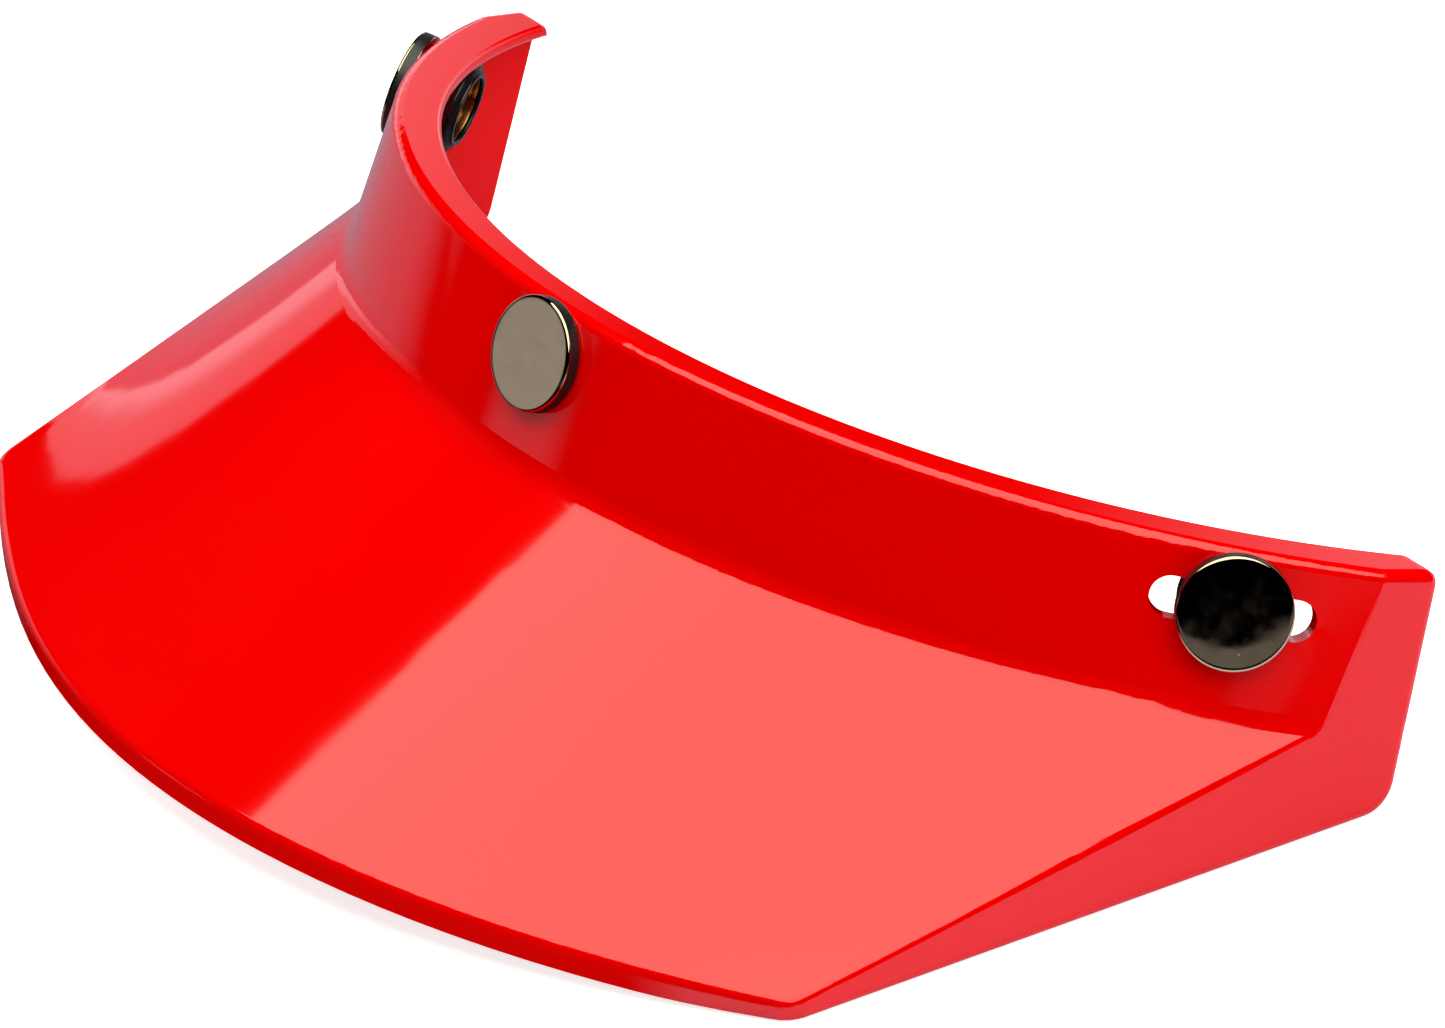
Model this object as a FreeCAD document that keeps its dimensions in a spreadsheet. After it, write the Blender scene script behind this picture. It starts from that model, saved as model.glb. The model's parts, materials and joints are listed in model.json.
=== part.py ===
"""Sun visor peak for an open-face helmet: one moulded shell and three press-stud sockets.

The model is drawn in the band's own frame: the origin is the centre of the circle that the three
snaps lie on, Z is the axis of the conical band and -Y is the front.  The finished pieces are then
tipped about X, so that the two side walls stand on the floor, and moved to the middle of their box.
"""
import FreeCAD
import Part
import Sketcher
import math
import os
import re
from FreeCAD import Placement, Rotation, Vector

SIZES = [
    ("band_radius", 105.0, "outer radius of the band at the height of the snaps"),
    ("band_flare", 5.41, "degrees that the band opens downwards"),
    ("band_rise", 7.14, "flange's outer face above the snaps, at the front"),
    ("flange_fall", 0.644, "degrees that the flange drops towards the front"),
    ("crease_front", 14.0, "crease between band and peak, below the snaps, at the front"),
    ("crease_side", 12.8, "the same crease at the two sides"),
    ("opening_inset", 9.4, "inner edge of the top flange, inside the band's radius"),
    ("brow_inset", 6.5, "front of that edge, behind the front of the band"),
    ("wall", 3.0, "thickness of the moulding"),
    ("flange_wall", 1.9, "thickness of the top flange"),
    ("tilt", 19.45, "degrees between the band's axis and the vertical when it stands"),
    ("stand_height", 10.64, "band's centre above the floor"),
    ("back_foot", 41.5, "side wall's back corner on the floor, in front of the band's centre"),
    ("back_lean", 18.1, "degrees that the side wall's back edge leans back"),
    ("side_inset", 8.3, "side walls at their back corners, inside the band's radius"),
    ("corner_inset", 19.5, "side walls at their front corners, inside the band's radius"),
    ("side_lean", 4.8, "degrees that the side walls lean in"),
    ("corner_reach", 127.2, "front corners in front of the band's centre"),
    ("nose_reach", 160.0, "middle of the front edge in front of the band's centre"),
    ("nose_lift", 6.1, "underside of the front edge above the floor, in the middle"),
    ("edge_fullness", 3.1, "how much the front edge flattens between middle and corner"),
    ("edge_dip", 2.8, "how much the front edge drops between middle and corner"),
    ("edge_slope", 15.0, "degrees that the peak slopes where its front edge is cut upright"),
    ("valley_radius", 4.5, "fillet in the crease between band and peak"),
    ("crease_radius", 1.4, "rounding of the outer creases"),
    ("plan_radius", 5.0, "rounding of the two front corners"),
    ("heel_radius", 5.0, "rounding of the side walls' back corners on the floor"),
    ("peak_corner", 2.0, "rounding of the side walls' upper back corners"),
    ("lip_radius", 0.7, "rounding of the flange's inner edge"),
    ("snap_angle", 54.63, "degrees from the middle snap to a side snap"),
    ("right_snap_back", 1.4, "degrees that the right snap rests behind the middle of its slot"),
    ("slot_length", 21.3, "slot, end to end"),
    ("post_radius", 2.6, "shank of the hollow rivet"),
    ("slot_play", 0.1, "slot wall to shank, each side"),
    ("neck_radius", 2.0, "riveted end of the post"),
    ("post_bore", 1.3, "radius of the hole up the post"),
    ("flare_radius", 3.1, "rolled-over end of the post"),
    ("flare_height", 0.45, "thickness of the rolled-over end"),
    ("cap_radius", 7.5, "polished cap"),
    ("cap_height", 2.1, "cap, back to front"),
    ("cap_sheet", 0.5, "metal of the cap"),
    ("cap_round", 0.6, "rounding of the cap's front edge"),
    ("cap_gap", 0.3, "band to cap and to outer washer"),
    ("cap_lip", 1.2, "width of the cap's rim, folded in under the post's head"),
    ("head_play", 0.2, "cap's inside to the post's head, at the rim"),
    ("washer_radius", 6.4, "inner washer"),
    ("washer_sheet", 0.4, "thickness of the washers"),
    ("washer_play", 0.06, "washer hole to shank, and the washers' end play"),
    ("socket_gap", 0.3, "inside of the band to the inner washer"),
    ("socket_radius", 6.4, "outside of the socket"),
    ("relief_play", 0.15, "room round the sockets and washers in the flange's underside"),
    ("socket_depth", 3.4, "socket, from its seat to its face"),
    ("socket_sheet", 0.5, "metal of the socket"),
    ("socket_shoulder", 1.0, "height of the socket's sloping shoulder"),
    ("rim_radius", 5.3, "outside of the rolled rim"),
    ("bore_radius", 4.5, "mouth of the socket, which takes the helmet's stud"),
    ("bore_length", 0.5, "length of that mouth, up to the spring"),
    ("spring_play", 0.06, "how far the spring stands back from the mouth, and from the socket round it"),
    ("spring_sheet", 0.5, "thickness of the spring"),
    ("spring_split", 1.4, "gap between the spring's ends"),
    ("end_play", 0.1, "free height over the spring, at each end"),
    ("flare_room", 0.4, "room round the post's rolled-over end in the socket's base"),
]

doc = FreeCAD.newDocument("visor_peak")
sheet = doc.addObject("Spreadsheet::Sheet", "Sizes")
for row, (alias, value, meaning) in enumerate(SIZES, start=1):
    sheet.set("A%d" % row, meaning)
    sheet.set("B%d" % row, str(value))
    sheet.setAlias("B%d" % row, alias)
doc.recompute()


def size(alias):
    """A driving dimension, as the sheet holds it."""
    return float(getattr(sheet, alias))


# ---------------------------------------------------------------- frames
TILT = math.radians(size("tilt"))
FLARE = math.radians(size("band_flare"))
UPRIGHT = Vector(0, -math.sin(TILT), math.cos(TILT))
FAR = 400.0           # further than any of the shell, for cutters that run right through it
DEEP = 80.0           # below and behind the shell, for what closes the blanks out of sight


def standing(x, forward, height):
    """Point given as it stands on the floor, turned into the band's frame."""
    rise = height - size("stand_height")
    return Vector(x, -forward * math.cos(TILT) - rise * math.sin(TILT),
                  -forward * math.sin(TILT) + rise * math.cos(TILT))


def on_band(angle):
    """Placement on the band's outer face: Z outwards, X along the band, Y up."""
    spot = Vector(0, -size("band_radius"), 0)
    lean = Placement(spot, Rotation(Vector(1, 0, 0), 90 - size("band_flare")))
    turn = Placement(Vector(0, 0, 0), Rotation(Vector(0, 0, 1), angle))
    return turn * lean


# ---------------------------------------------------------------- moulded shell
def band_cone(inset):
    """Everything inside the band's cone, well past both of its edges."""
    low, high = -DEEP, 30.0
    narrow = inset / math.cos(FLARE)
    radius_low = size("band_radius") - low * math.tan(FLARE) - narrow
    radius_high = size("band_radius") - high * math.tan(FLARE) - narrow
    return Part.makeCone(radius_low, radius_high, high - low, Vector(0, 0, low))


def side_slopes():
    """How far a side wall moves in for each mm forwards, and for each mm upwards."""
    fall = size("corner_inset") - size("side_inset")
    taper = fall / (size("corner_reach") - size("back_foot"))
    return taper, math.tan(math.radians(size("side_lean")))


def half_width(forward, height):
    """Centre plane to a side wall's outer face, at a place that is given as it stands."""
    taper, lean = side_slopes()
    back = size("band_radius") - size("side_inset")
    return back - (forward - size("back_foot")) * taper - height * lean


def side_sine():
    """Sine of the angle, seen along the band's axis, at which the band runs into a side wall."""
    sine = 1 - size("side_inset") / size("band_radius")
    for _ in range(8):
        forward = size("band_radius") * math.sqrt(1 - sine ** 2) * math.cos(TILT)
        height = size("stand_height") + forward * math.tan(TILT)
        sine = half_width(forward, height) / size("band_radius")
    return sine


def crease_point(across):
    """Crease between band and peak; across runs from -1 to 1 between the side walls."""
    sine = across * side_sine()
    middle = 1 - sine ** 2
    drop = size("crease_side") + (size("crease_front") - size("crease_side")) * middle
    radius = size("band_radius") + drop * math.tan(FLARE)
    return Vector(radius * sine, -radius * math.sqrt(middle), -drop)


def edge_forward(across):
    """Plan of the front edge: how far in front of the band's centre it runs."""
    spread = size("nose_reach") - size("corner_reach")
    swell = across ** 2 - across ** 4
    return size("corner_reach") + spread * (1 - across ** 2) - size("edge_fullness") * swell


def half_front():
    """Centre plane to a front corner."""
    return size("band_radius") - size("corner_inset")


def edge_point(across):
    """Upper front edge of the peak."""
    swell = across ** 2 - across ** 4
    underside = size("nose_lift") * (1 - across ** 2) - size("edge_dip") * swell
    thickness = size("wall") / math.cos(math.radians(size("edge_slope")))
    return standing(across * half_front(), edge_forward(across), underside + thickness)


def peak_point(across, along):
    """Top of the peak: straight from the crease (along 0) to the front edge (along 1)."""
    start = crease_point(across)
    end = edge_point(across)
    return start + (end - start) * along


def peak_block(inset):
    """Everything under the peak's top face, moved in by inset along its normals."""
    step = 1e-3
    columns = 17
    overrun = 1.06
    grid = []
    for i in range(columns):
        across = overrun * (2 * i / (columns - 1) - 1)
        line = []
        for along in (-0.12, 0.2, 0.5, 0.8, 1.15):
            spot = peak_point(across, along)
            sideways = peak_point(across + step, along) - spot
            forwards = peak_point(across, along + step) - spot
            normal = forwards.cross(sideways).normalize()
            line.append(spot - normal * inset)
        grid.append(line)
    skin = Part.BSplineSurface()
    skin.interpolate(grid)
    return skin.toShape().extrude(UPRIGHT * -1.5 * DEEP)


def side_room(inset):
    """Space between the two side walls, which taper to the front and lean in."""
    taper, lean = side_slopes()
    slant = inset * math.sqrt(1 + taper ** 2 + lean ** 2)
    low, high = -DEEP / 2, 1.5 * DEEP
    rings = []
    for forward in (-DEEP / 4, 3 * DEEP):
        corners = []
        for side, height in ((1, low), (1, high), (-1, high), (-1, low), (1, low)):
            corners.append(standing(side * (half_width(forward, height) - slant), forward, height))
        rings.append(Part.makePolygon(corners))
    return Part.makeLoft(rings, True, True)


def slab(points):
    """Flat outline in the YZ plane, made as wide as the model and more."""
    face = Part.Face(Part.makePolygon(points + points[:1]))
    face.translate(Vector(-FAR / 2, 0, 0))
    return face.extrude(Vector(FAR, 0, 0))


def flange_face(y, inset):
    """Height of the flange's outer face over a place y, less inset."""
    fall = math.tan(math.radians(size("flange_fall")))
    return size("band_rise") + (y + size("band_radius")) * fall - inset


def under_flange(inset):
    """Everything below the flange's outer face."""
    near, far, low = FAR / 2, -FAR, -2 * DEEP
    return slab([Vector(0, near, low), Vector(0, near, flange_face(near, inset)),
                 Vector(0, far, flange_face(far, inset)), Vector(0, far, low)])


def side_profile():
    """Side view of the blank: back edge, floor and flange, with its two back corners rounded."""
    lean = math.tan(math.radians(size("back_lean")))
    foot = standing(0, size("back_foot"), 0)
    head = standing(0, size("back_foot") - DEEP * lean, DEEP)
    share = (flange_face(foot.y, 0) - foot.z) / (head.z - foot.z)
    for _ in range(4):
        y = foot.y + (head.y - foot.y) * share
        share = (flange_face(y, 0) - foot.z) / (head.z - foot.z)
    top = foot + (head - foot) * share
    far = FAR / 1.5
    blank = slab([foot, top, Vector(0, -far, flange_face(-far, 0)), standing(0, far, 0)])
    heel = [e for e in blank.Edges if runs_across(e, foot)]
    crown = [e for e in blank.Edges if runs_across(e, top)]
    return blank.makeFillet(size("heel_radius"), heel).makeFillet(size("peak_corner"), crown)


def runs_across(edge, spot):
    """True for the edge along X that passes through a spot of the YZ plane."""
    a, b = edge.Vertexes[0].Point, edge.Vertexes[-1].Point
    flat = abs(a.y - b.y) + abs(a.z - b.z) < 1e-6
    return flat and abs(a.y - spot.y) + abs(a.z - spot.z) < 1e-6


def front_cutter():
    """Everything behind the front edge, cut upright as the blank stands."""
    columns = 25
    overrun = 1.2
    spots = []
    for i in range(columns):
        across = overrun * (2 * i / (columns - 1) - 1)
        spots.append(standing(across * half_front(), edge_forward(across), -DEEP))
    curve = Part.BSplineCurve()
    curve.interpolate(spots)
    back_right = Vector(spots[-1]) + Vector(0, FAR * math.cos(TILT), FAR * math.sin(TILT))
    back_left = Vector(spots[0]) + Vector(0, FAR * math.cos(TILT), FAR * math.sin(TILT))
    sides = Part.makePolygon([spots[-1], back_right, back_left, spots[0]])
    return Part.Face(Part.Wire([curve.toShape()] + sides.Edges)).extrude(UPRIGHT * 3 * DEEP)


def nearest_edges(shape, spots):
    """The edge that runs nearest to each spot."""
    found = []
    for spot in spots:
        point = Part.Vertex(spot)
        found.append(min(shape.Edges, key=lambda edge: edge.distToShape(point)[0]))
    return found


def both_sides(spots):
    """The spots and their mirror images in the centre plane."""
    return spots + [Vector(-spot.x, spot.y, spot.z) for spot in spots]


def solid_of(shape):
    """The one solid that a boolean leaves."""
    if len(shape.Solids) != 1:
        raise RuntimeError("expected one solid, found %d" % len(shape.Solids))
    return shape.Solids[0]


def outer_block():
    """The blank: the moulding's outer shape, solid right through, with its outer edges rounded."""
    blank = band_cone(0).fuse(peak_block(0)).common(side_room(0))
    blank = solid_of(blank.common(side_profile()).common(front_cutter()))
    blank = blank.makeFillet(size("valley_radius"), nearest_edges(blank, [crease_point(0)]))
    corner = standing(half_front(), size("corner_reach"), size("wall") / 2)
    blank = blank.makeFillet(size("plan_radius"), nearest_edges(blank, both_sides([corner])))
    shoulder = Vector(side_sine() * size("band_radius"), 0, 0)
    shoulder.y = -math.sqrt(size("band_radius") ** 2 - shoulder.x ** 2)
    crest = Vector(shoulder.x, shoulder.y + size("peak_corner"), flange_face(shoulder.y, 0))
    brow = Vector(0, -size("band_radius"), flange_face(-size("band_radius"), 0))
    creases = both_sides([peak_point(1, 0.5), shoulder, crest]) + [brow, edge_point(0)]
    return blank.makeFillet(size("crease_radius"), nearest_edges(blank, creases))


def inner_block():
    """What the moulding leaves hollow, running out of the blank behind, below and in front."""
    wall = size("wall")
    room = band_cone(wall).fuse(peak_block(wall)).common(side_room(wall))
    room = solid_of(room.common(under_flange(size("flange_wall"))))
    hollow = nearest_edges(room, [crease_point(0) + Vector(0, wall / 2, -wall)])
    return room.makeFillet(size("valley_radius") + wall, hollow)


def round_cut(angle, radius, outer, inner):
    """Round cutter square to the band, between two distances out from the band's face."""
    cutter = Part.makeCylinder(radius, outer - inner, Vector(0, 0, inner))
    cutter.Placement = on_band(angle)
    return cutter


def slide_cut(side, radius, outer, inner):
    """The same cutter drawn out along the band, as far as a side snap slides."""
    reach = slot_reach()
    corners = [Vector(0, -radius, inner), Vector(0, radius, inner),
               Vector(0, radius, outer), Vector(0, -radius, outer), Vector(0, -radius, inner)]
    section = Part.Face(Part.makePolygon(corners))
    section.Placement = on_band(side * size("snap_angle") - reach)
    middle = section.revolve(Vector(0, 0, 0), Vector(0, 0, 1), 2 * reach)
    turns = (side * size("snap_angle") - reach, side * size("snap_angle") + reach)
    return middle.fuse([round_cut(turn, radius, outer, inner) for turn in turns])


def slot_reach():
    """Degrees from the middle of a slot to the centre of its round end."""
    straight = size("slot_length") / 2 - size("post_radius") - size("slot_play")
    return math.degrees(straight / size("band_radius"))


def flange_relief():
    """Pockets in the flange's underside, which leave room for the three sockets and washers."""
    play = size("relief_play")
    outer = play - size("wall")
    inner = -size("opening_inset") - 2 * size("wall")
    radius = max(size("washer_radius"), size("socket_radius")) + play
    rooms = slide_cut(-1, radius, outer, inner).fuse(slide_cut(1, radius, outer, inner))
    rooms = rooms.fuse(round_cut(0, radius, outer, inner))
    floor = size("band_rise") - size("flange_wall") - play
    above = Part.makeBox(FAR, FAR, size("band_rise"), Vector(-FAR / 2, -FAR / 2, floor))
    return rooms.common(above)


def shell_shape():
    """The moulding: blank less hollow, then the flange's opening, the slots and the rivet hole."""
    shell = outer_block().cut(inner_block())
    opening = Part.makeCylinder(opening_radius(), DEEP, opening_centre())
    shell = solid_of(shell.cut(opening))
    lip = [edge for edge in shell.Edges if on_opening(edge)]
    shell = shell.makeFillet(size("lip_radius"), lip)
    if not shell.isValid():
        shell.fix(1e-4, 1e-4, 1e-2)
    shank, through = size("post_radius") + size("slot_play"), 2 * size("wall")
    slots = [slide_cut(side, shank, through, -through) for side in (-1, 1)]
    shell = shell.cut(slots + [round_cut(0, shank, through, -through)])
    return solid_of(shell.cut(flange_relief()))


def opening_radius():
    """Radius of the flange's inner edge."""
    return size("band_radius") - size("opening_inset")


def opening_centre():
    """Centre of that edge, which lies a little in front of the band's own."""
    return Vector(0, size("brow_inset") - size("opening_inset"), 0)


def on_opening(edge):
    """True for the two long edges of the flange's opening."""
    middle = edge.valueAt((edge.FirstParameter + edge.LastParameter) / 2)
    centre = opening_centre()
    reach = math.hypot(middle.x - centre.x, middle.y - centre.y)
    return abs(reach - opening_radius()) < 0.01 and edge.Length > opening_radius()


# ---------------------------------------------------------------- snaps
ALIASES = {alias for alias, value, meaning in SIZES}


def bound(formula):
    """The formula with every size in it read from the sheet."""
    return re.sub(r"[a-z_]+", lambda w: "Sizes." + w.group() if w.group() in ALIASES else w.group(),
                  formula)


def turned_body(label, outline, split=None):
    """Body turned about Z from an outline of (radius, height) formulas; split leaves it open."""
    body = doc.addObject("PartDesign::Body", "Body_" + label)
    body.Label = label
    plane = [item for item in body.Origin.OriginFeatures if item.Role == "XZ_Plane"][0]
    sketch = body.newObject("Sketcher::SketchObject", "Outline_" + label)
    sketch.AttachmentSupport = [(plane, "")]
    sketch.MapMode = "FlatFace"
    rough = [Vector(40 * math.cos(a), 40 * math.sin(a), 0)
             for a in [2 * math.pi * i / len(outline) for i in range(len(outline))]]
    for i in range(len(outline)):
        sketch.addGeometry(Part.LineSegment(rough[i], rough[(i + 1) % len(outline)]), False)
    for i in range(len(outline)):
        sketch.addConstraint(Sketcher.Constraint("Coincident", i, 2, (i + 1) % len(outline), 1))
    for i, (radius, height) in enumerate(outline):
        if radius == "0":
            sketch.addConstraint(Sketcher.Constraint("PointOnObject", i, 1, -2))
        else:
            across = sketch.addConstraint(Sketcher.Constraint("DistanceX", -1, 1, i, 1, 10.0))
            sketch.setExpression("Constraints[%d]" % across, bound(radius))
        up = sketch.addConstraint(Sketcher.Constraint("DistanceY", -1, 1, i, 1, 10.0))
        sketch.setExpression("Constraints[%d]" % up, bound(height))
    turn = body.newObject("PartDesign::Revolution", "Turn_" + label)
    turn.Profile = sketch
    turn.ReferenceAxis = (sketch, ["V_Axis"])
    if split:
        turn.setExpression("Angle", bound("360 - (" + split + ")"))
    else:
        turn.Angle = 360.0
    doc.recompute()
    return body


def round_edges(body, formula, wanted):
    """Fillet on the circular edges whose (radius, height) is near one of those wanted."""
    edges = []
    base = body.Tip
    for number, edge in enumerate(base.Shape.Edges, start=1):
        if len(edge.Vertexes) != 1:
            continue
        spot = edge.valueAt(edge.FirstParameter)
        for radius, height in wanted:
            if abs(math.hypot(spot.x, spot.y) - radius) + abs(spot.z - height) < 0.02:
                edges.append("Edge%d" % number)
    fillet = body.newObject("PartDesign::Fillet", "Round_" + body.Label)
    fillet.Base = (base, edges)
    fillet.setExpression("Radius", bound(formula))
    doc.recompute()


def snap(prefix, angle, slides):
    """One press-stud socket: cap and hollow rivet outside, black socket with its spring inside."""
    gap = "cap_gap" if slides else "0"
    seat_radius = "washer_radius" if slides else "socket_radius"
    bow = "(band_radius - sqrt((band_radius - wall) ^ 2 - %s ^ 2))" % seat_radius
    behind = bow + (" + socket_gap" if slides else "")
    seat = "-(%s%s)" % (behind, " + washer_sheet" if slides else "")
    base = "%s + washer_sheet" % gap
    top = "%s + cap_height" % gap
    face = "%s - socket_depth" % seat
    lip = "cap_radius - cap_lip"
    inside = "cap_radius - cap_sheet"

    cap = turned_body(prefix + "_cap", [
        ("0", top), ("cap_radius", top), ("cap_radius", gap), (lip, gap), (lip, base),
        (inside, base), (inside, top + " - cap_sheet"), ("0", top + " - cap_sheet")])
    gap_now = size("cap_gap") if slides else 0.0
    front = gap_now + size("cap_height")
    round_edges(cap, "cap_round", [(size("cap_radius"), front)])

    step = seat + " - socket_sheet - flare_height"
    head = "cap_radius - cap_sheet - head_play"
    post = turned_body(prefix + "_post", [
        ("post_bore", top + " - cap_sheet"), (head, top + " - cap_sheet"), (head, base),
        ("post_radius", base), ("post_radius", seat), ("neck_radius", seat),
        ("neck_radius", seat + " - socket_sheet"), ("flare_radius", seat + " - socket_sheet"),
        ("flare_radius", step), ("post_bore", step)])

    base_plate = turned_body(prefix + "_socket_base", [
        ("neck_radius", seat), ("socket_radius - socket_sheet", seat),
        ("socket_radius - socket_sheet", step), ("flare_radius + flare_room", step),
        ("flare_radius + flare_room", seat + " - socket_sheet"),
        ("neck_radius", seat + " - socket_sheet")])

    coil = "bore_radius + spring_play"
    cover = turned_body(prefix + "_socket_cover", [
        ("socket_radius - socket_sheet", seat), ("socket_radius", seat),
        ("socket_radius", face + " + socket_shoulder"), ("rim_radius", face), ("bore_radius", face),
        ("bore_radius", face + " + bore_length"),
        (coil + " + spring_sheet + spring_play", face + " + bore_length"),
        ("socket_radius - socket_sheet", face + " + socket_shoulder")])

    spring = turned_body(prefix + "_socket_spring", [
        (coil, face + " + bore_length + end_play"),
        (coil + " + spring_sheet", face + " + bore_length + end_play"),
        (coil + " + spring_sheet", step + " - end_play"), (coil, step + " - end_play")],
        split="spring_split / bore_radius * 180 / pi")
    pieces = [cap, post, base_plate, cover, spring]

    if slides:
        pieces.append(turned_body(prefix + "_outer_washer", [
            ("post_radius + washer_play", gap), (lip + " - socket_gap", gap),
            (lip + " - socket_gap", base + " - washer_play"),
            ("post_radius + washer_play", base + " - washer_play")]))
        pieces.append(turned_body(prefix + "_inner_washer", [
            ("post_radius + washer_play", "-(%s)" % behind), ("washer_radius", "-(%s)" % behind),
            ("washer_radius", seat + " + washer_play"),
            ("post_radius + washer_play", seat + " + washer_play")]))
    for piece in pieces:
        piece.Placement = ROW * on_band(angle)
    return pieces


# ---------------------------------------------------------------- assembly
shell = doc.addObject("Part::Feature", "Shell")
shell.Label = "visor_shell"
shell.Shape = shell_shape()

STAND = Placement(Vector(0, 0, size("stand_height")), Rotation(Vector(1, 0, 0), -size("tilt")))
shell.Placement = STAND
box = shell.Shape.optimalBoundingBox(True, False)
ROW = Placement(Vector(0, -(box.YMin + box.YMax) / 2, -box.ZMin), Rotation()) * STAND
shell.Placement = ROW

parts = [shell]
parts += snap("middle", 0.0, False)
parts += snap("left", size("snap_angle"), True)
parts += snap("right", -size("snap_angle") - size("right_snap_back"), True)
doc.recompute()

for item in doc.Objects:
    if "Invalid" in item.State or "Error" in item.State:
        raise RuntimeError("%s failed: %s" % (item.Label, item.State))
for part in parts:
    if part.Shape.isNull() or not part.Shape.isValid() or len(part.Shape.Solids) != 1:
        raise RuntimeError("%s is not one valid solid" % part.Label)

os.makedirs("parts", exist_ok=True)
for part in parts:
    part.Shape.exportStep("parts/%s.step" % part.Label)
    print(part.Label, round(part.Shape.Volume, 1))
print("band centre", ROW.Base, "axis", ROW.Rotation.multVec(Vector(0, 0, 1)))
for name, angle in (("middle", 0.0), ("left", size("snap_angle")),
                    ("right", -size("snap_angle") - size("right_snap_back"))):
    place = ROW * on_band(angle)
    print(name, place.Base, place.Rotation.multVec(Vector(0, 0, 1)))
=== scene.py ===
"""Looks of a moulded sun visor peak with three press studs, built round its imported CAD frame."""
import json
import math

import bpy
from mathutils import Matrix, Vector


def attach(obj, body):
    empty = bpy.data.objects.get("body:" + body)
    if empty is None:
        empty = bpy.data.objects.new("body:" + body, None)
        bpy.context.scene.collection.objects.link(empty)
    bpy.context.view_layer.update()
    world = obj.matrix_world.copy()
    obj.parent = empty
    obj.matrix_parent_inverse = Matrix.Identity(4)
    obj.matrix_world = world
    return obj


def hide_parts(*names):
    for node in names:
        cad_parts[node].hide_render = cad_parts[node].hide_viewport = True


bl_info = {
    "name": "Helmet Sun Visor Peak",
    "version": (1, 0, 0),
    "blender": (4, 5, 0),
    "location": "3D View > Sidebar > Visor Peak",
    "description": "Builds the press studs, finishes and studio of a moulded sun visor peak",
    "category": "Add Mesh",
}

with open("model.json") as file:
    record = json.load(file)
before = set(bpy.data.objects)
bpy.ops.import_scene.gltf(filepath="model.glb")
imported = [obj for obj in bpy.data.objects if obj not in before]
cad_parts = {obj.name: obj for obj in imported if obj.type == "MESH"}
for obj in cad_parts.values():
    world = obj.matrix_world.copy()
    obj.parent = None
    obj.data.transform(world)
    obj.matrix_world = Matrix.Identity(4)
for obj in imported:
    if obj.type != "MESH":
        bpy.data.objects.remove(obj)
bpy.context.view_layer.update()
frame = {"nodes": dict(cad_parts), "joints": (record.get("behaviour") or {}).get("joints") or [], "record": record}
NODES = frame["nodes"]
JOINTS = {joint["name"]: joint for joint in frame["joints"]}
MOUNTS = {mount["name"]: mount for mount in frame["record"]["mounts"]}
SNAPS = {"middle": "shell", "left": "left_snap_body", "right": "right_snap_body"}
MM = 0.001


# ---------------------------------------------------------------- frames of the three snaps
def snap_axes(side):
    """A point on a snap's axis, and its directions along the band, up the band and outwards."""
    mount = MOUNTS[side + "_snap"]
    outward = -Vector(mount["axis"]).normalized()
    along = Vector(JOINTS["left_slide"]["axis"]).cross(outward).normalized()
    return Vector(mount["pos_m"]), along, outward.cross(along), outward


def node_reach(node, outward):
    """Lowest and highest place of a CAD node along a direction."""
    heights = [vertex.co.dot(outward) for vertex in NODES[node].data.vertices]
    return min(heights), max(heights)


def snap_place(side, node, outer):
    """Matrix that puts a piece's origin on the snap's axis, level with one end of a CAD node."""
    spot, along, up, outward = snap_axes(side)
    level = node_reach(node, outward)[1 if outer else 0]
    spot = spot + outward * (level - spot.dot(outward))
    return Matrix.Translation(spot) @ Matrix((along, up, outward)).transposed().to_4x4()


# ---------------------------------------------------------------- modelling by hand
def deselect_all():
    """Nothing selected, in object mode."""
    if bpy.context.mode != "OBJECT":
        bpy.ops.object.mode_set(mode="OBJECT")
    bpy.ops.object.select_all(action="DESELECT")


def only(piece):
    """The piece alone selected and active."""
    deselect_all()
    piece.select_set(True)
    bpy.context.view_layer.objects.active = piece


def arc(radius, height, round_by, start, stop, steps=6):
    """Points of a rounding about (radius, height), by angle from outwards to upwards, in degrees."""
    turns = [math.radians(start + (stop - start) * i / steps) for i in range(steps + 1)]
    return [(radius + round_by * math.cos(turn), height + round_by * math.sin(turn)) for turn in turns]


def turned(name, outline, steps=128):
    """Turned piece: a circle extruded and scaled from point to point of an outline in mm."""
    deselect_all()
    radius, height = outline[0]
    bpy.ops.mesh.primitive_circle_add(vertices=steps, radius=radius * MM, location=(0, 0, height * MM))
    piece = bpy.context.object
    piece.name = name
    bpy.ops.object.mode_set(mode="EDIT")
    bpy.ops.mesh.select_all(action="SELECT")
    for new_radius, new_height in outline[1:]:
        rise = (new_height - height) * MM
        bpy.ops.mesh.extrude_edges_move(TRANSFORM_OT_translate={"value": (0, 0, rise)})
        grow = new_radius / radius
        bpy.ops.transform.resize(value=(grow, grow, 1), center_override=(0, 0, new_height * MM))
        radius, height = new_radius, new_height
    bpy.ops.mesh.select_all(action="SELECT")
    bpy.ops.mesh.remove_doubles(threshold=0.002 * MM)
    bpy.ops.mesh.normals_make_consistent(inside=False)
    bpy.ops.object.mode_set(mode="OBJECT")
    bpy.ops.object.transform_apply(location=True, rotation=True, scale=True)
    return piece


def copies(model, sides, node, outer, name):
    """The model copied to each snap, each copy with its own mesh and its place in that mesh."""
    pieces = {}
    for side in sides:
        piece = model.copy()
        piece.data = model.data.copy()
        piece.name = "%s_%s" % (side, name)
        piece.data.name = piece.name
        bpy.context.collection.objects.link(piece)
        piece.matrix_world = snap_place(side, "%s_%s" % (side, node), outer)
        only(piece)
        bpy.ops.object.transform_apply(location=True, rotation=True, scale=True)
        bpy.ops.object.shade_smooth_by_angle(angle=math.radians(30))
        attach(piece, SNAPS[side])
        pieces[side] = piece
    bpy.data.objects.remove(model)
    return pieces


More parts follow.
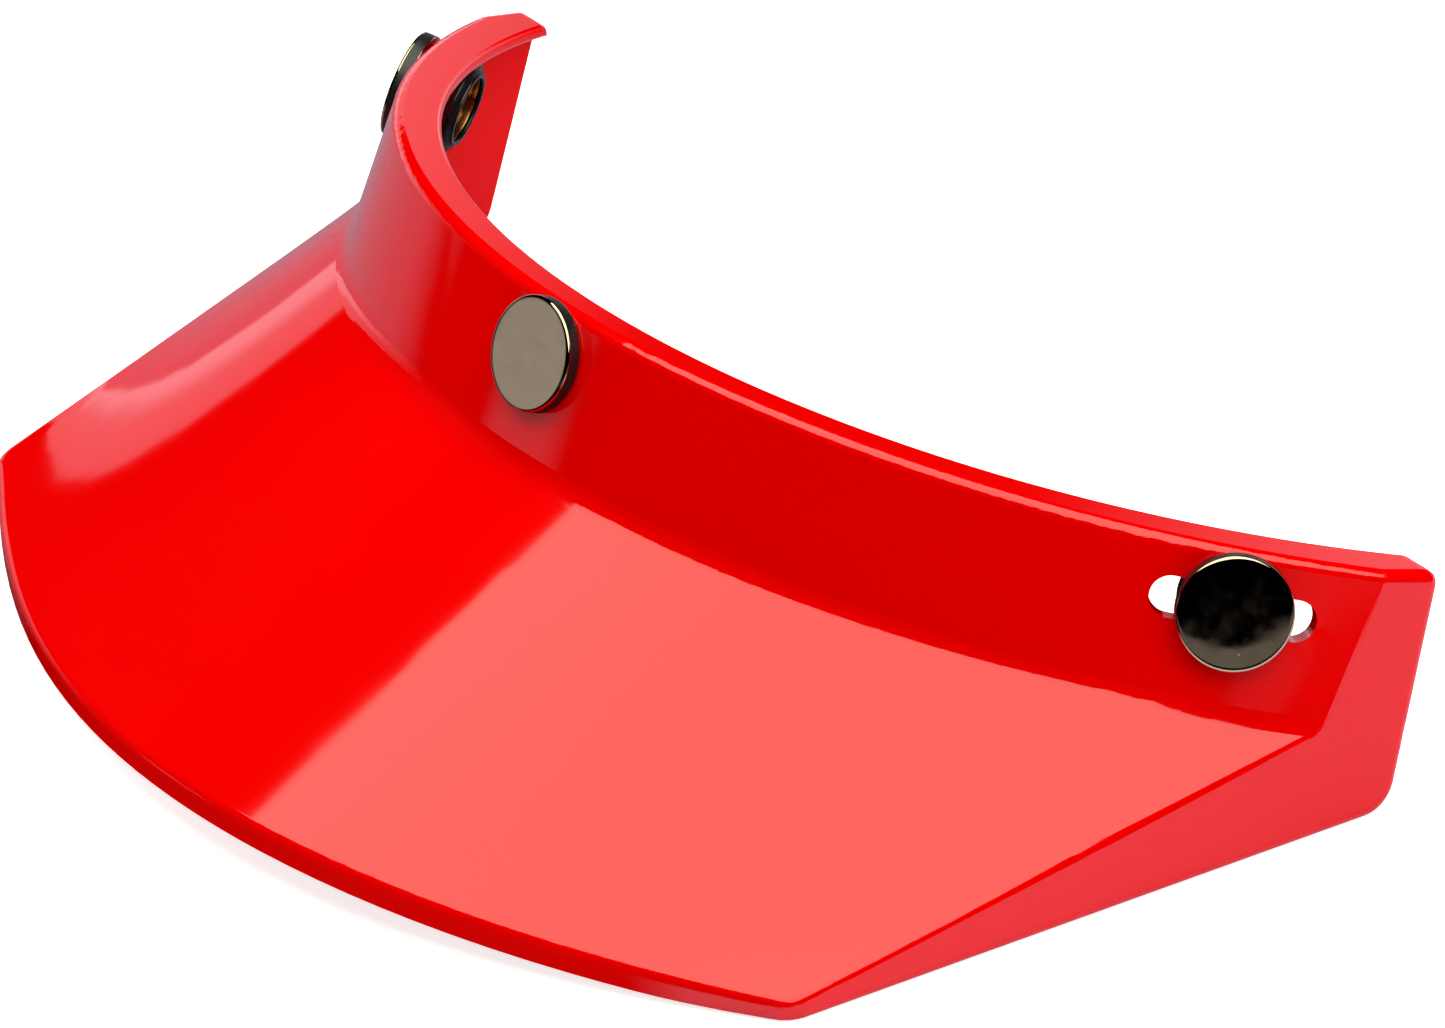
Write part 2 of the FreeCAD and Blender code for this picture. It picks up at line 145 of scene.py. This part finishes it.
# ---------------------------------------------------------------- materials
def linear(code):
    """Linear colour of an sRGB hex value."""
    parts = [int(code[i:i + 2], 16) / 255 for i in (1, 3, 5)]
    return tuple(c / 12.92 if c <= 0.04045 else ((c + 0.055) / 1.055) ** 2.4 for c in parts) + (1.0,)


def add_node(tree, kind, values=(), links=(), **settings):
    """One node, with its settings, its sockets' values and its links from other nodes' outputs."""
    node = tree.nodes.new(kind)
    for key, value in settings.items():
        setattr(node, key, value)
    for socket, value in dict(values).items():
        node.inputs[socket].default_value = value
    for socket, output in dict(links).items():
        tree.links.new(output, node.inputs[socket])
    return node


def new_material(name):
    """Empty node material, with its tree, its shader and its Object coordinates."""
    material = bpy.data.materials.new(name)
    material.use_nodes = True
    tree = material.node_tree
    shader = tree.nodes["Principled BSDF"]
    place = add_node(tree, "ShaderNodeTexCoord").outputs["Object"]
    return material, tree, shader, place


def per_mm(millimetres):
    """Texture scale at which one step of the pattern has that size."""
    return 1 / (millimetres * MM)


def gloss_abs(colours):
    """Injection-moulded, lacquered ABS: deep even colour, a sharp reflection that ripples slightly."""
    material, tree, shader, place = new_material("gloss_red_abs")
    depth = add_node(tree, "ShaderNodeTexNoise", {"Scale": per_mm(40), "Detail": 2.0}, {"Vector": place})
    tint = add_node(tree, "ShaderNodeMix", {6: linear(colours.moulding), 7: linear(colours.moulding_deep)},
                    {0: depth.outputs["Fac"]}, data_type="RGBA")
    haze = add_node(tree, "ShaderNodeTexNoise", {"Scale": per_mm(9), "Detail": 4.0, "Roughness": 0.6},
                    {"Vector": place})
    rough = add_node(tree, "ShaderNodeMapRange", {"To Min": 0.045, "To Max": 0.085},
                     {"Value": haze.outputs["Fac"]})
    ripple = add_node(tree, "ShaderNodeTexNoise", {"Scale": per_mm(5), "Detail": 1.0}, {"Vector": place})
    relief = add_node(tree, "ShaderNodeBump", {"Strength": 1.0, "Distance": 0.002 * MM},
                      {"Height": ripple.outputs["Fac"]})
    shader.inputs["IOR"].default_value = 1.5
    tree.links.new(tint.outputs[2], shader.inputs["Base Color"])
    tree.links.new(rough.outputs["Result"], shader.inputs["Roughness"])
    tree.links.new(relief.outputs["Normal"], shader.inputs["Normal"])
    return material


def nickel_plate(colours):
    """Nickel-plated steel, polished: a warm grey mirror with pin pits, dust and hairline rubs."""
    material, tree, shader, place = new_material("polished_nickel_plate")
    pits = add_node(tree, "ShaderNodeTexVoronoi", {"Scale": per_mm(0.9)}, {"Vector": place})
    # a pit or speck is 0.02 to 0.05 mm across; drawn at 0.12 mm so that it shows
    speck = add_node(tree, "ShaderNodeMapRange",
                     {"From Min": 0.07, "From Max": 0.13, "To Min": 1.0, "To Max": 0.0},
                     {"Value": pits.outputs["Distance"]})
    chance = add_node(tree, "ShaderNodeMath", {1: 0.88}, {0: pits.outputs["Color"]}, operation="GREATER_THAN")
    marks = add_node(tree, "ShaderNodeMath", (), {0: speck.outputs["Result"], 1: chance.outputs["Value"]},
                     operation="MULTIPLY")
    cloud = add_node(tree, "ShaderNodeTexNoise", {"Scale": per_mm(2.5), "Detail": 5.0}, {"Vector": place})
    tint = add_node(tree, "ShaderNodeMix", {6: linear(colours.nickel), 7: linear(colours.nickel_dull)},
                    {0: cloud.outputs["Fac"]}, data_type="RGBA")
    dusty = add_node(tree, "ShaderNodeMix", {7: linear(colours.dust)},
                     {0: marks.outputs["Value"], 6: tint.outputs[2]}, data_type="RGBA")
    film = add_node(tree, "ShaderNodeMapRange",
                    {"From Min": 0.35, "From Max": 0.75, "To Min": 0.02, "To Max": 0.1},
                    {"Value": cloud.outputs["Fac"]})
    rough = add_node(tree, "ShaderNodeMath", (), {0: film.outputs["Result"], 1: marks.outputs["Value"]},
                     operation="MAXIMUM")
    relief = add_node(tree, "ShaderNodeBump", {"Strength": 0.4, "Distance": 0.01 * MM},
                      {"Height": marks.outputs["Value"]})
    shader.inputs["Metallic"].default_value = 1.0
    tree.links.new(dusty.outputs[2], shader.inputs["Base Color"])
    tree.links.new(rough.outputs["Value"], shader.inputs["Roughness"])
    tree.links.new(relief.outputs["Normal"], shader.inputs["Normal"])
    return material


def painted_shade_plate(colours):
    """Painted shade on the caps' upright sides: the plate there is coloured nearly black to stand for the shadow
    round the caps, with a dull sheen.
    """
    material, tree, shader, place = new_material("painted_shade_black_plate")
    rubs = add_node(tree, "ShaderNodeTexNoise", {"Scale": per_mm(0.4), "Detail": 4.0}, {"Vector": place})
    tint = add_node(tree, "ShaderNodeMix", {6: linear(colours.enamel), 7: linear(colours.enamel_worn)},
                    {0: rubs.outputs["Fac"]}, data_type="RGBA")
    rough = add_node(tree, "ShaderNodeMapRange", {"To Min": 0.3, "To Max": 0.5},
                     {"Value": rubs.outputs["Fac"]})
    tree.links.new(tint.outputs[2], shader.inputs["Base Color"])
    tree.links.new(rough.outputs["Result"], shader.inputs["Roughness"])
    return material


def black_enamel(colours):
    """Pressed steel under gloss black stove enamel: nearly black, a soft sheen, fine rubs on top."""
    material, tree, shader, place = new_material("black_stove_enamel")
    rubs = add_node(tree, "ShaderNodeTexNoise", {"Scale": per_mm(0.8), "Detail": 6.0, "Roughness": 0.7},
                    {"Vector": place})
    tint = add_node(tree, "ShaderNodeMix", {6: linear(colours.enamel), 7: linear(colours.enamel_worn)},
                    {0: rubs.outputs["Fac"]}, data_type="RGBA")
    rough = add_node(tree, "ShaderNodeMapRange", {"To Min": 0.12, "To Max": 0.38},
                     {"Value": rubs.outputs["Fac"]})
    relief = add_node(tree, "ShaderNodeBump", {"Strength": 0.5, "Distance": 0.004 * MM},
                      {"Height": rubs.outputs["Fac"]})
    shader.inputs["IOR"].default_value = 1.5
    tree.links.new(tint.outputs[2], shader.inputs["Base Color"])
    tree.links.new(rough.outputs["Result"], shader.inputs["Roughness"])
    tree.links.new(relief.outputs["Normal"], shader.inputs["Normal"])
    return material


def brass_strip(colours):
    """Rolled spring brass: bright gold metal with rolling lines along the strip."""
    material, tree, shader, place = new_material("rolled_spring_brass")
    lines = add_node(tree, "ShaderNodeTexNoise", {"Scale": per_mm(0.25), "Detail": 3.0}, {"Vector": place})
    tint = add_node(tree, "ShaderNodeMix", {6: linear(colours.brass), 7: linear(colours.brass_dark)},
                    {0: lines.outputs["Fac"]}, data_type="RGBA")
    rough = add_node(tree, "ShaderNodeMapRange", {"To Min": 0.12, "To Max": 0.32},
                     {"Value": lines.outputs["Fac"]})
    shader.inputs["Metallic"].default_value = 1.0
    tree.links.new(tint.outputs[2], shader.inputs["Base Color"])
    tree.links.new(rough.outputs["Result"], shader.inputs["Roughness"])
    return material


def black_nylon(colours):
    """Moulded nylon washer: satin black with a fine tool grain."""
    material, tree, shader, place = new_material("satin_black_nylon")
    grain = add_node(tree, "ShaderNodeTexNoise", {"Scale": per_mm(0.3), "Detail": 3.0}, {"Vector": place})
    tint = add_node(tree, "ShaderNodeMix", {6: linear(colours.nylon), 7: linear(colours.enamel_worn)},
                    {0: grain.outputs["Fac"]}, data_type="RGBA")
    rough = add_node(tree, "ShaderNodeMapRange", {"To Min": 0.4, "To Max": 0.6},
                     {"Value": grain.outputs["Fac"]})
    relief = add_node(tree, "ShaderNodeBump", {"Strength": 0.6, "Distance": 0.01 * MM},
                      {"Height": grain.outputs["Fac"]})
    shader.inputs["IOR"].default_value = 1.53
    tree.links.new(tint.outputs[2], shader.inputs["Base Color"])
    tree.links.new(rough.outputs["Result"], shader.inputs["Roughness"])
    tree.links.new(relief.outputs["Normal"], shader.inputs["Normal"])
    return material


def finish(piece, material):
    """One material all over the piece."""
    piece.data.materials.clear()
    piece.data.materials.append(material)


# ---------------------------------------------------------------- sizes and colours
def length(name, description, millimetres):
    """Length property with its default given in mm."""
    return bpy.props.FloatProperty(name=name, description=description, default=millimetres * MM,
                                   min=0.0, precision=5, subtype="DISTANCE", unit="LENGTH")


def colour(name, description, code):
    """Colour property, as an sRGB hex value."""
    return bpy.props.StringProperty(name=name, description=description, default=code)


class VisorColours(bpy.types.PropertyGroup):
    """Colours of the finishes, as sRGB hex values."""
    moulding: colour("Moulding", "Colour of the moulded peak", "#DE0000")
    moulding_deep: colour("Moulding, deeper", "Where the moulding's colour runs a little deeper", "#DA0000")
    nickel: colour("Nickel", "Polished plate of the caps and posts", "#CAB798")
    nickel_dull: colour("Nickel, dull", "Where the plate has a slight film", "#BAA687")
    dust: colour("Dust", "Specks on the plate", "#EDE6DA")
    enamel: colour("Enamel", "Pressed sockets", "#050505")
    enamel_worn: colour("Enamel, rubbed", "Where the enamel is lightly rubbed", "#1C1B1B")
    brass: colour("Brass", "Ring springs", "#E9B36F")
    brass_dark: colour("Brass, darker", "Rolling lines in the ring springs", "#C08442")
    nylon: colour("Nylon", "Washers", "#0B0B0C")


class SnapSizes(bpy.types.PropertyGroup):
    """Sizes of a press stud's pieces."""
    cap_radius: length("Cap radius", "Outside of the polished cap", 7.45)
    cap_height: length("Cap height", "Cap, back to front", 2.1)
    cap_crown: length("Cap crown", "How much the cap's face bulges", 0.06)
    cap_round: length("Cap rounding", "Rounding between the cap's face and its side", 0.4)
    cap_lip: length("Cap lip", "Width of the rim folded in behind the cap", 1.2)
    cap_sheet: length("Cap sheet", "Metal of the cap", 0.4)
    post_radius: length("Post radius", "Shank of the hollow rivet", 2.6)
    post_bore: length("Post bore", "Radius of the hole up the post", 1.3)
    neck_radius: length("Neck radius", "Riveted end of the post", 2.0)
    flare_radius: length("Flare radius", "Rolled-over end of the post", 3.1)
    flare_height: length("Flare height", "Thickness of the rolled-over end", 0.45)
    socket_radius: length("Socket radius", "Outside of the socket", 6.4)
    socket_depth: length("Socket depth", "Socket, from its seat to its face", 3.4)
    socket_sheet: length("Socket sheet", "Metal of the socket", 0.5)
    socket_shoulder: length("Socket shoulder", "Height of the sloping shoulder", 1.0)
    rim_radius: length("Rim radius", "Outside of the rolled rim", 5.3)
    bore_radius: length("Bore radius", "Mouth of the socket", 4.5)
    spring_radius: length("Spring radius", "Inside of the ring spring", 4.56)
    spring_sheet: length("Spring thickness", "Thickness of the ring spring", 0.5)
    spring_split: length("Spring split", "Gap between the ring spring's ends", 1.4)


class StudioSettings(bpy.types.PropertyGroup):
    """Camera, lights and floor."""
    lens: bpy.props.FloatProperty(name="Lens", description="Focal length in mm", default=290.85, min=1.0)
    distance: length("Camera distance", "Camera to the point it looks at", 1479.2)
    azimuth: bpy.props.FloatProperty(name="Camera azimuth", description="Round from the front",
                                     default=math.radians(54.0474), subtype="ANGLE")
    elevation: bpy.props.FloatProperty(name="Camera elevation", description="Up from the floor",
                                       default=math.radians(31.6746), subtype="ANGLE")
    roll: bpy.props.FloatProperty(name="Camera roll", description="Turn about the line of sight",
                                  default=math.radians(-2.8129), subtype="ANGLE")
    softbox: bpy.props.FloatProperty(name="Softbox", description="Brightness of the softbox overhead",
                                     default=3.3, min=0.0)
    fill_left: bpy.props.FloatProperty(name="Left fill", description="Power of the fill at the front left",
                                       default=4.5, min=0.0)
    fill_right: bpy.props.FloatProperty(name="Right fill", description="Power of the fill at the right rear",
                                        default=5.5, min=0.0)
    floor_radius: length("Floor radius", "Radius of the pale floor", 420.0)
    floor_glow: bpy.props.FloatProperty(name="Floor glow", description="Lifts the floor's shadows",
                                        default=0.8, min=0.0)


# ---------------------------------------------------------------- operators
class VISOR_OT_shell(bpy.types.Operator):
    """Finishes the moulded peak in gloss ABS and the washers in nylon"""
    bl_idname = "visor.shell"
    bl_label = "Moulded peak and washers"

    def execute(self, context):
        colours = context.scene.visor_colours
        finishes = {"shell": gloss_abs(colours), "washer": black_nylon(colours)}
        for name, node in NODES.items():
            material = finishes.get(name.split("_")[-1])
            if material:
                node.data.materials.clear()
                node.data.materials.append(material)
        return {"FINISHED"}


class VISOR_OT_caps(bpy.types.Operator):
    """Models the polished caps, with their crowned face and folded rim"""
    bl_idname = "visor.caps"
    bl_label = "Polished caps"

    def execute(self, context):
        sizes = context.scene.visor_sizes
        rim, top = sizes.cap_radius / MM, sizes.cap_height / MM
        crown, edge = sizes.cap_crown / MM, sizes.cap_round / MM
        sheet, lip = sizes.cap_sheet / MM, sizes.cap_lip / MM
        face, back, nib = rim - edge, 0.15, 0.1
        # the face is nearly flat in the middle and falls away as the fourth power of the radius
        lean = math.degrees(4 * crown / face)
        shares = (0.001, 0.25, 0.4, 0.5, 0.6, 0.7, 0.8, 0.9, 0.96)
        bulge = [(face * share, top - crown * share ** 4) for share in shares]
        outline = bulge + arc(face, top - crown - edge, edge, 90 - lean, 0, 8)
        outline += arc(rim - back, back, back, 0, -90, 4) + [(rim - lip + nib, 0), (rim - lip, nib)]
        outline += [(rim - lip, sheet - nib), (rim - lip + nib, sheet), (rim - sheet, sheet)]
        outline += [(rim - sheet, top - crown - sheet), (0.001 * face, top - crown - sheet)]
        model = turned("cap_model", outline)
        nickel = nickel_plate(context.scene.visor_colours)
        painted_shade_sides = painted_shade_plate(context.scene.visor_colours)
        for side, cap in copies(model, SNAPS, "cap", False, "polished_cap").items():
            finish(cap, nickel)
            cap.data.materials.append(painted_shade_sides)
            outward = snap_axes(side)[3]
            low = node_reach(side + "_cap", outward)[0]
            # painted shade: the upright faces of each cap's side, above its fold, take the nearly black second
            # material
            for part in cap.data.polygons:
                height = (part.center.dot(outward) - low) / MM
                upright = abs(part.normal.dot(outward)) < 0.2
                if upright and back < height < top - crown - edge + 0.01:
                    part.material_index = 1
            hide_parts(side + "_cap")
        return {"FINISHED"}


class VISOR_OT_rivets(bpy.types.Operator):
    """Models the hollow rivets, whose ends are rolled over inside the sockets"""
    bl_idname = "visor.rivets"
    bl_label = "Hollow rivets"

    def execute(self, context):
        sizes = context.scene.visor_sizes
        bore, neck = sizes.post_bore / MM, sizes.neck_radius / MM
        shank, flare = sizes.post_radius / MM, sizes.flare_radius / MM
        roll, curl = sizes.flare_height / MM / 2, 0.3
        nickel = bpy.data.materials["polished_nickel_plate"]
        for side in SNAPS:
            outward = snap_axes(side)[3]
            low, high = node_reach(side + "_post", outward)
            seat = node_reach(side + "_socket_base", outward)[1]
            tall, step = (high - low) / MM, (seat - low) / MM
            head = (sizes.cap_radius - sizes.cap_sheet) / MM - curl
            under = (node_reach(side + "_cap", outward)[0] - low) / MM + sizes.cap_sheet / MM + 0.02
            inside = tall - 0.2
            outline = [(bore, inside), (bore, roll + curl)]
            outline += arc(bore + curl, roll + 0.05, curl, 180, 210, 2)
            outline += arc(flare - roll, roll, roll, -90, 90, 8) + [(neck, 2 * roll), (neck, step)]
            outline += [(shank, step), (shank, under), (head, under), (head, inside), (bore, inside)]
            model = turned("rivet_model", outline, 64)
            rivet = copies(model, [side], "post", False, "hollow_rivet")[side]
            finish(rivet, nickel)
            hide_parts(side + "_post")
        return {"FINISHED"}


class VISOR_OT_sockets(bpy.types.Operator):
    """Models the black sockets, with their rolled mouths and pressed shoulders"""
    bl_idname = "visor.sockets"
    bl_label = "Enamelled sockets"

    def execute(self, context):
        sizes = context.scene.visor_sizes
        wide, deep, sheet = sizes.socket_radius / MM, sizes.socket_depth / MM, sizes.socket_sheet / MM
        rim, bore, neck = sizes.rim_radius / MM, sizes.bore_radius / MM, sizes.neck_radius / MM
        shoulder, roll = deep - sizes.socket_shoulder / MM, sheet / 2
        room = sizes.spring_radius / MM + sizes.spring_sheet / MM + 0.06
        floor = sheet + sizes.flare_height / MM
        pocket = sizes.flare_radius / MM + 0.4
        heel, turn, bead, play = 0.3, 0.6, 0.18, 0.02
        # heights run down from the seat, so the outline is turned over at the end
        outline = [(neck + play, 0.0), (wide - heel, 0.0)] + arc(wide - heel, heel, heel, -90, 0, 4)
        outline += arc(wide - turn, shoulder - 0.1, turn, 0, 45, 5)
        outline += [(rim + 0.25, deep - 0.42), (rim + play, deep - 0.28)]
        outline += arc(rim - bead, deep - bead, bead, 20, 90, 5)
        outline += arc(bore + roll, deep - roll, roll, 90, 270, 9)
        outline += [(room, deep - sheet), (wide - sheet, shoulder - 0.1), (wide - sheet, floor)]
        outline += [(pocket, floor), (pocket, sheet), (neck + play, sheet), (neck + play, 0.0)]
        model = turned("socket_model", [(radius, -height) for radius, height in outline])
        enamel = black_enamel(context.scene.visor_colours)
        for side, socket in copies(model, SNAPS, "socket_base", True, "enamelled_socket").items():
            finish(socket, enamel)
            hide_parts(side + "_socket_base", side + "_socket_cover")
        return {"FINISHED"}


class VISOR_OT_springs(bpy.types.Operator):
    """Models the split ring springs that lie behind the sockets' mouths"""
    bl_idname = "visor.springs"
    bl_label = "Ring springs"

    def execute(self, context):
        sizes = context.scene.visor_sizes
        inside, sheet = sizes.spring_radius, sizes.spring_sheet
        low, high = node_reach("middle_socket_spring", snap_axes("middle")[3])
        gap = sizes.spring_split / inside
        deselect_all()
        bpy.ops.mesh.primitive_plane_add(size=1.0, location=(0, 0, 0))
        model = bpy.context.object
        bpy.ops.object.mode_set(mode="EDIT")
        bpy.ops.mesh.select_all(action="SELECT")
        bpy.ops.transform.resize(value=(sheet, high - low, 1), center_override=(0, 0, 0))
        bpy.ops.mesh.bevel(offset=0.12 * MM, segments=3, affect="VERTICES")
        bpy.ops.transform.rotate(value=math.pi / 2, orient_axis="X", center_override=(0, 0, 0))
        middle = (inside + sheet / 2, 0, (high - low) / 2)
        bpy.ops.transform.translate(value=middle)
        bpy.ops.mesh.spin(steps=96, angle=2 * math.pi - gap, center=(0, 0, 0), axis=(0, 0, 1))
        bpy.ops.mesh.select_all(action="SELECT")
        bpy.ops.mesh.normals_make_consistent(inside=False)
        bpy.ops.object.mode_set(mode="OBJECT")
        brass = brass_strip(context.scene.visor_colours)
        for side, spring in copies(model, SNAPS, "socket_spring", False, "ring_spring").items():
            finish(spring, brass)
            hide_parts(side + "_socket_spring")
        return {"FINISHED"}


class VISOR_OT_studio(bpy.types.Operator):
    """Lays the pale floor and sets the softbox, the surroundings and the camera"""
    bl_idname = "visor.studio"
    bl_label = "Studio"

    def execute(self, context):
        studio = context.scene.visor_studio
        context.scene.view_settings.view_transform = "Standard"
        self.floor(studio)
        self.softbox(studio)
        self.fills(studio)
        self.surroundings(context.scene)
        self.camera(context.scene, studio)
        return {"FINISHED"}

    def brightness(self, tree, inputs, parts):
        """Sum of parts, each the product of ramps: an input's name, its two ends and the values there."""
        whole = None
        for part in parts:
            light = None
            for name, start, stop, low, high in part:
                ends = {"From Min": start, "From Max": stop, "To Min": low, "To Max": high}
                ramp = add_node(tree, "ShaderNodeMapRange", ends, {"Value": inputs[name]}).outputs["Result"]
                if light is not None:
                    ramp = add_node(tree, "ShaderNodeMath", (), {0: light, 1: ramp},
                                    operation="MULTIPLY").outputs["Value"]
                light = ramp
            if whole is not None:
                light = add_node(tree, "ShaderNodeMath", (), {0: whole, 1: light}).outputs["Value"]
            whole = light
        return whole

    def floor(self, studio):
        """Round pale floor."""
        deselect_all()
        bpy.ops.mesh.primitive_circle_add(vertices=96, radius=studio.floor_radius, fill_type="NGON",
                                          location=(0, 0, 0))
        floor = bpy.context.object
        floor.name = "studio_floor"
        material, tree, shader, place = new_material("pale_floor")
        spot = add_node(tree, "ShaderNodeSeparateXYZ", (), {0: place})
        # two lit parts show in the gloss, one to the left and one beside the right-hand side wall
        gloss = self.brightness(tree, spot.outputs, (
            (("X", -0.05, -0.1, 0.0, 0.3), ("Y", -0.11, -0.04, 0.0, 1.0)),
            (("X", 0.24, 0.18, 0.0, 0.9), ("Y", -0.052, -0.042, 0.0, 1.0), ("X", 0.068, 0.075, 0.0, 1.0))))
        gloss = add_node(tree, "ShaderNodeMix", {6: linear("#000000"), 7: linear("#DCDCFF")},
                         {0: gloss}, data_type="RGBA")
        ray = add_node(tree, "ShaderNodeLightPath")
        tint = add_node(tree, "ShaderNodeMix", {6: linear("#F4F4F4")},
                        {0: ray.outputs["Is Glossy Ray"], 7: gloss.outputs[2]}, data_type="RGBA")
        glow = add_node(tree, "ShaderNodeMath", {1: studio.floor_glow}, {0: ray.outputs["Is Camera Ray"]},
                        operation="MULTIPLY")
        shader.inputs["Roughness"].default_value = 0.9
        shader.inputs["Specular IOR Level"].default_value = 0.0
        shader.inputs["Emission Color"].default_value = linear("#FFFFFF")
        tree.links.new(tint.outputs[2], shader.inputs["Base Color"])
        tree.links.new(glow.outputs["Value"], shader.inputs["Emission Strength"])
        floor.data.materials.append(material)

    def softbox(self, studio):
        """Broad softbox overhead, whose near edge shows as the left end of its reflection."""
        height, left, right, front, back = 1.0, -0.66, 1.25, -0.62, 0.62
        wide, deep = right - left, back - front
        bpy.ops.object.light_add(type="AREA", location=((left + right) / 2, (front + back) / 2, height))
        lamp = bpy.context.object
        lamp.name = "softbox"
        lamp.data.shape = "RECTANGLE"
        lamp.data.size, lamp.data.size_y = wide, deep
        lamp.data.energy = math.pi * studio.softbox * wide * deep
        lamp.data.color = linear("#FFFFF0")[:3]

    def fills(self, studio):
        """Two soft fills, from the front left and from the right rear, which leave no reflection."""
        for name, spot, power in (("fill_left", (-1.05, -0.3, 0.5), studio.fill_left),
                                  ("fill_right", (0.9, 0.75, 0.1), studio.fill_right)):
            bpy.ops.object.light_add(type="AREA", location=spot)
            lamp = bpy.context.object
            lamp.name = name
            lamp.rotation_euler = Vector(spot).to_track_quat("Z", "Y").to_euler()
            lamp.data.shape = "DISK"
            lamp.data.size = 0.8
            lamp.data.energy = power
            lamp.visible_glossy = False

    def surroundings(self, scene):
        """Dark room with a low bright wall to the left and behind, and white round the view itself."""
        world = bpy.data.worlds.new("studio_room")
        scene.world = world
        world.use_nodes = True
        tree = world.node_tree
        tree.nodes.clear()
        ray = add_node(tree, "ShaderNodeTexCoord").outputs["Generated"]
        inputs = {}
        for name, direction in (("left", (-0.8, 0.6, 0.0)), ("seam", (0.7242, 0.6896, 0.0)),
                                ("card", (-0.689, -0.7236, 0.042)), ("right", (0.87, -0.49, 0.0)),
                                ("height", (0.0, 0.0, 1.0))):
            share = add_node(tree, "ShaderNodeVectorMath", {1: direction}, {0: ray}, operation="DOT_PRODUCT")
            inputs[name] = share.outputs["Value"]
        inputs["seam"] = add_node(tree, "ShaderNodeMath", (), {0: inputs["seam"]},
                                  operation="ABSOLUTE").outputs["Value"]
        # a wall low down on the left and behind, in two panels; a grey card that the middle cap
        # faces; and the room's dim floor to the right
        level = self.brightness(tree, inputs, (
            (("left", 0.5, 0.85, 0.0, 1.0), ("height", 0.145, 0.15, 1.0, 0.0),
             ("height", 0.0, 0.05, 1.1, 0.6), ("seam", 0.02, 0.05, 0.0, 1.0)),
            (("card", 0.9877, 0.9976, 0.0, 0.54),),
            (("right", 0.5, 0.8, 0.0, 1.0), ("height", -0.018, -0.012, 0.2, 0.0))))
        seen = add_node(tree, "ShaderNodeLightPath").outputs["Is Camera Ray"]
        strength = add_node(tree, "ShaderNodeMath", (), {0: level, 1: seen}, operation="MAXIMUM")
        light = add_node(tree, "ShaderNodeBackground", {"Color": linear("#F4F4FF")},
                         {"Strength": strength.outputs["Value"]})
        add_node(tree, "ShaderNodeOutputWorld", (), {"Surface": light.outputs["Background"]})

    def camera(self, scene, studio):
        """Long lens from the front left, a third of the way up."""
        bpy.ops.object.camera_add()
        camera = bpy.context.object
        camera.name = "studio_camera"
        back = Vector((math.sin(studio.azimuth) * math.cos(studio.elevation),
                       -math.cos(studio.azimuth) * math.cos(studio.elevation), math.sin(studio.elevation)))
        turn = (-back).to_track_quat("-Z", "Y").to_matrix().to_4x4()
        aim = Vector((13.35, 14.33, 21.12)) * MM
        spot = aim + back * studio.distance
        camera.matrix_world = Matrix.Translation(spot) @ turn @ Matrix.Rotation(studio.roll, 4, "Z")
        camera.data.lens = studio.lens
        camera.data.sensor_width = 36.0
        camera.data.clip_start = 0.05
        scene.camera = camera


class VISOR_PT_panel(bpy.types.Panel):
    """Sidebar panel with the sizes, the colours and the steps in their order"""
    bl_idname = "VISOR_PT_panel"
    bl_label = "Visor Peak"
    bl_space_type = "VIEW_3D"
    bl_region_type = "UI"
    bl_category = "Visor Peak"

    def draw(self, context):
        for group in (context.scene.visor_sizes, context.scene.visor_colours, context.scene.visor_studio):
            box = self.layout.box()
            for name in group.__annotations__:
                box.prop(group, name)
        for step in STEPS:
            self.layout.operator(step.bl_idname)


STEPS = (VISOR_OT_shell, VISOR_OT_caps, VISOR_OT_rivets, VISOR_OT_sockets, VISOR_OT_springs, VISOR_OT_studio)
GROUPS = {"visor_sizes": SnapSizes, "visor_colours": VisorColours, "visor_studio": StudioSettings}
CLASSES = tuple(GROUPS.values()) + STEPS + (VISOR_PT_panel,)


def register():
    """Registers the classes and puts the settings on the scene."""
    for item in CLASSES:
        bpy.utils.register_class(item)
    for name, group in GROUPS.items():
        setattr(bpy.types.Scene, name, bpy.props.PointerProperty(type=group))


def unregister():
    """Takes the settings and the classes away again."""
    for name in GROUPS:
        delattr(bpy.types.Scene, name)
    for item in reversed(CLASSES):
        bpy.utils.unregister_class(item)


def main():
    """Builds everything in order."""
    register()
    bpy.ops.visor.shell()
    bpy.ops.visor.caps()
    bpy.ops.visor.rivets()
    bpy.ops.visor.sockets()
    bpy.ops.visor.springs()
    bpy.ops.visor.studio()
    deselect_all()


if __name__ == "__main__":
    main()
